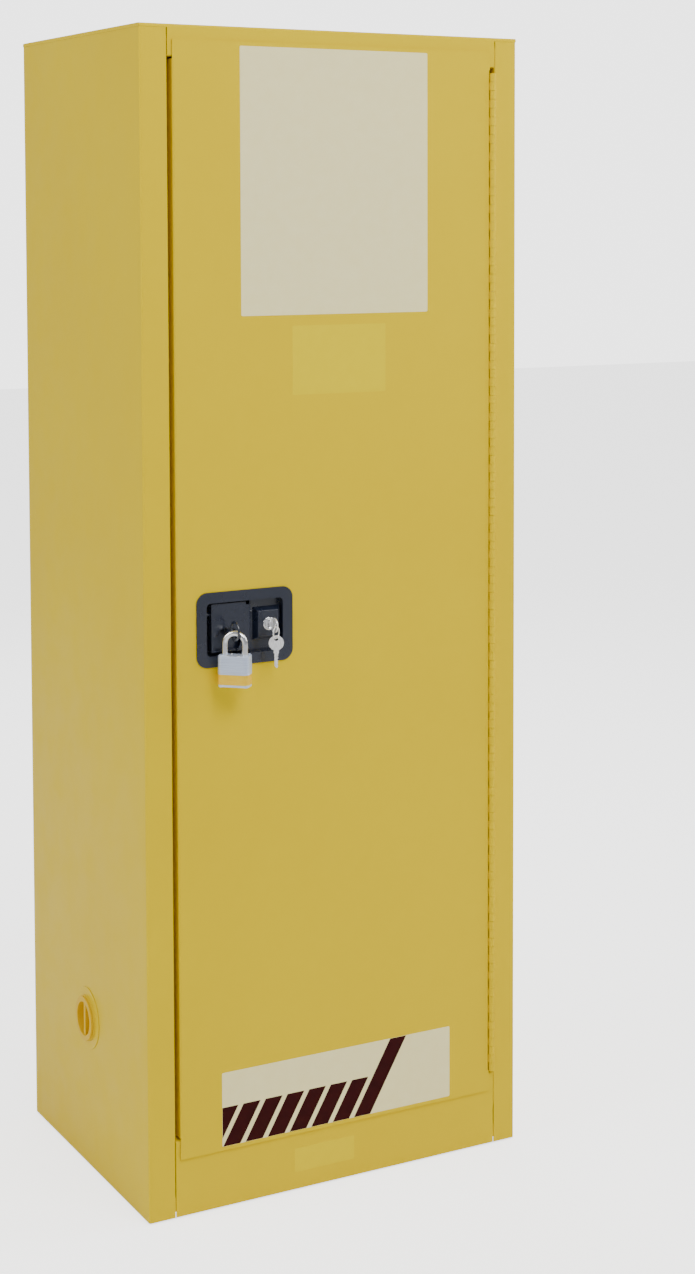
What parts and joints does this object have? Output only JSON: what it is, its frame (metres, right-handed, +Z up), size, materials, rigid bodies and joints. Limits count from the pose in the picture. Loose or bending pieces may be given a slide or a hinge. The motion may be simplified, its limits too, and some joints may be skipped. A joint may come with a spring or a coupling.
{
  "type": "flammable liquid safety cabinet",
  "caption": "Tall slim double-walled steel safety cabinet with one piano-hinged door, recessed lockable paddle handle, vents, shelves and a spill sump.",
  "frame": {"origin": "on the floor, under the middle of the cabinet body", "axes": "+Z up, the door faces -Y, the latch side is -X and the hinge side is +X"},
  "size_m": [0.621, 0.5035, 1.651],
  "materials": {
    "yellow_paint": "satin powder coat",
    "yellow_inside": "satin powder coat",
    "galvanised": "zinc plated",
    "black_paint": "semi-gloss black",
    "foot_plastic": "matte black",
    "brass": "brushed",
    "chrome": "polished",
    "lock_steel": "laminated, satin",
    "label_cream": "matte vinyl film",
    "label_yellow": "matte vinyl film"
  },
  "bodies": {
    "cabinet": {"left_side_panel": "yellow_paint", "right_side_panel": "yellow_paint", "top_panel": "yellow_paint", "back_panel": "yellow_paint", "base_pan": "yellow_paint", "front_sill": "yellow_paint", "left_liner": "yellow_inside", "right_liner": "yellow_inside", "back_liner": "yellow_inside", "top_liner": "yellow_inside", "sump_pan": "yellow_inside", "shelf_standards": "yellow_inside", "shelf_brackets": "galvanised", "levelling_feet": "foot_plastic", "foot_nuts": "galvanised", "left_vent_socket": "yellow_paint", "left_flame_screen": "galvanised", "right_vent_socket": "yellow_paint", "right_flame_screen": "galvanised", "earthing_stud": "brass", "earthing_nuts": "galvanised", "hinge_frame_leaf": "yellow_inside", "hinge_pin": "galvanised", "strike_plates": "galvanised", "sill_label": "label_yellow"},
    "door": {"door_outer_panel": "yellow_paint", "door_inner_panel": "yellow_inside", "hinge_door_leaf": "yellow_inside", "handle_pan": "black_paint", "lock_boss": "black_paint", "pivot_pin": "galvanised", "paddle_spring": "galvanised", "cam_stud": "galvanised", "rod_guides": "galvanised", "pan_rivets": "galvanised", "sign_label": "label_cream", "data_label": "label_yellow", "stripe_label": "label_cream"},
    "paddle": {"paddle": "black_paint", "padlock_eye": "galvanised"},
    "latch_cam": {"latch_cam": "galvanised"},
    "upper_rod": {"upper_rod": "galvanised"},
    "lower_rod": {"lower_rod": "galvanised"},
    "centre_bolt": {"centre_bolt": "galvanised"},
    "key_plug": {"lock_plug": "chrome", "lock_tongue": "galvanised", "inserted_key": "chrome"},
    "spare_key": {"key_ring": "chrome", "spare_key": "chrome"},
    "shackle": {"shackle": "chrome"},
    "padlock": {"padlock_layers": "lock_steel", "padlock_bumper": "brass", "padlock_base": "lock_steel", "padlock_rivets": "lock_steel"},
    "left_bung": {"left_bung": "yellow_paint"},
    "right_bung": {"right_bung": "yellow_paint"},
    "shelf_low": {"shelf_low": "galvanised"},
    "shelf_middle": {"shelf_middle": "galvanised"},
    "shelf_high": {"shelf_high": "galvanised"}
  },
  "joints": [
    {"name": "door_hinge", "type": "hinge", "parent": "cabinet", "child": "door", "pos_m": [0.2545, -0.2312, 0.85], "axis": [0, 0, 1], "range_deg": [0, 175]},
    {"name": "paddle_pull", "type": "hinge", "parent": "door", "child": "paddle", "pos_m": [-0.1967, -0.2227, 0.843], "axis": [-1, 0, 0], "range_deg": [0, 40], "stiffness_Nm_per_rad": 0.9, "springref_deg": -34.38},
    {"name": "cam_turn", "type": "hinge", "parent": "door", "child": "latch_cam", "pos_m": [-0.1547, -0.2059, 0.838], "axis": [0, -1, 0], "range_deg": [0, 40]},
    {"name": "upper_rod_slide", "type": "slide", "parent": "door", "child": "upper_rod", "axis": [0, 0, -1], "range_m": [0, 0.01505]},
    {"name": "lower_rod_slide", "type": "slide", "parent": "door", "child": "lower_rod", "axis": [0, 0, 1], "range_m": [0, 0.01505]},
    {"name": "centre_bolt_slide", "type": "slide", "parent": "door", "child": "centre_bolt", "axis": [1, 0, 0], "range_m": [0, 0.01505]},
    {"name": "key_turn", "type": "hinge", "parent": "door", "child": "key_plug", "pos_m": [-0.11005, -0.2307, 0.8245], "axis": [0, -1, 0], "range_deg": [0, 90]},
    {"name": "spare_key_swing", "type": "hinge", "parent": "key_plug", "child": "spare_key", "pos_m": [-0.11005, -0.2547, 0.8234], "axis": [0, 1, 0], "range_deg": [-18, 18]},
    {"name": "padlock_swing", "type": "hinge", "parent": "paddle", "child": "shackle", "pos_m": [-0.1727, -0.25389, 0.82], "axis": [-0.7431, 0.6691, 0], "range_deg": [0, 45]},
    {"name": "padlock_release", "type": "slide", "parent": "shackle", "child": "padlock", "axis": [0, 0, -1], "range_m": [0, 0.009]},
    {"name": "left_bung_pull", "type": "slide", "parent": "cabinet", "child": "left_bung", "axis": [-1, 0, 0], "range_m": [0, 0.03]},
    {"name": "right_bung_pull", "type": "slide", "parent": "cabinet", "child": "right_bung", "axis": [1, 0, 0], "range_m": [0, 0.03]},
    {"name": "low_shelf_lift", "type": "slide", "parent": "cabinet", "child": "shelf_low", "axis": [0, 0, 1], "range_m": [0, 0.04]},
    {"name": "middle_shelf_lift", "type": "slide", "parent": "cabinet", "child": "shelf_middle", "axis": [0, 0, 1], "range_m": [0, 0.04]},
    {"name": "high_shelf_lift", "type": "slide", "parent": "cabinet", "child": "shelf_high", "axis": [0, 0, 1], "range_m": [0, 0.04]}
  ],
  "couplings": [
    {"joint": "cam_turn", "follows": "paddle_pull", "ratio": 1},
    {"joint": "upper_rod_slide", "follows": "paddle_pull", "m_per_rad": 0.021556},
    {"joint": "lower_rod_slide", "follows": "paddle_pull", "m_per_rad": 0.021556},
    {"joint": "centre_bolt_slide", "follows": "paddle_pull", "m_per_rad": 0.021556}
  ]
}
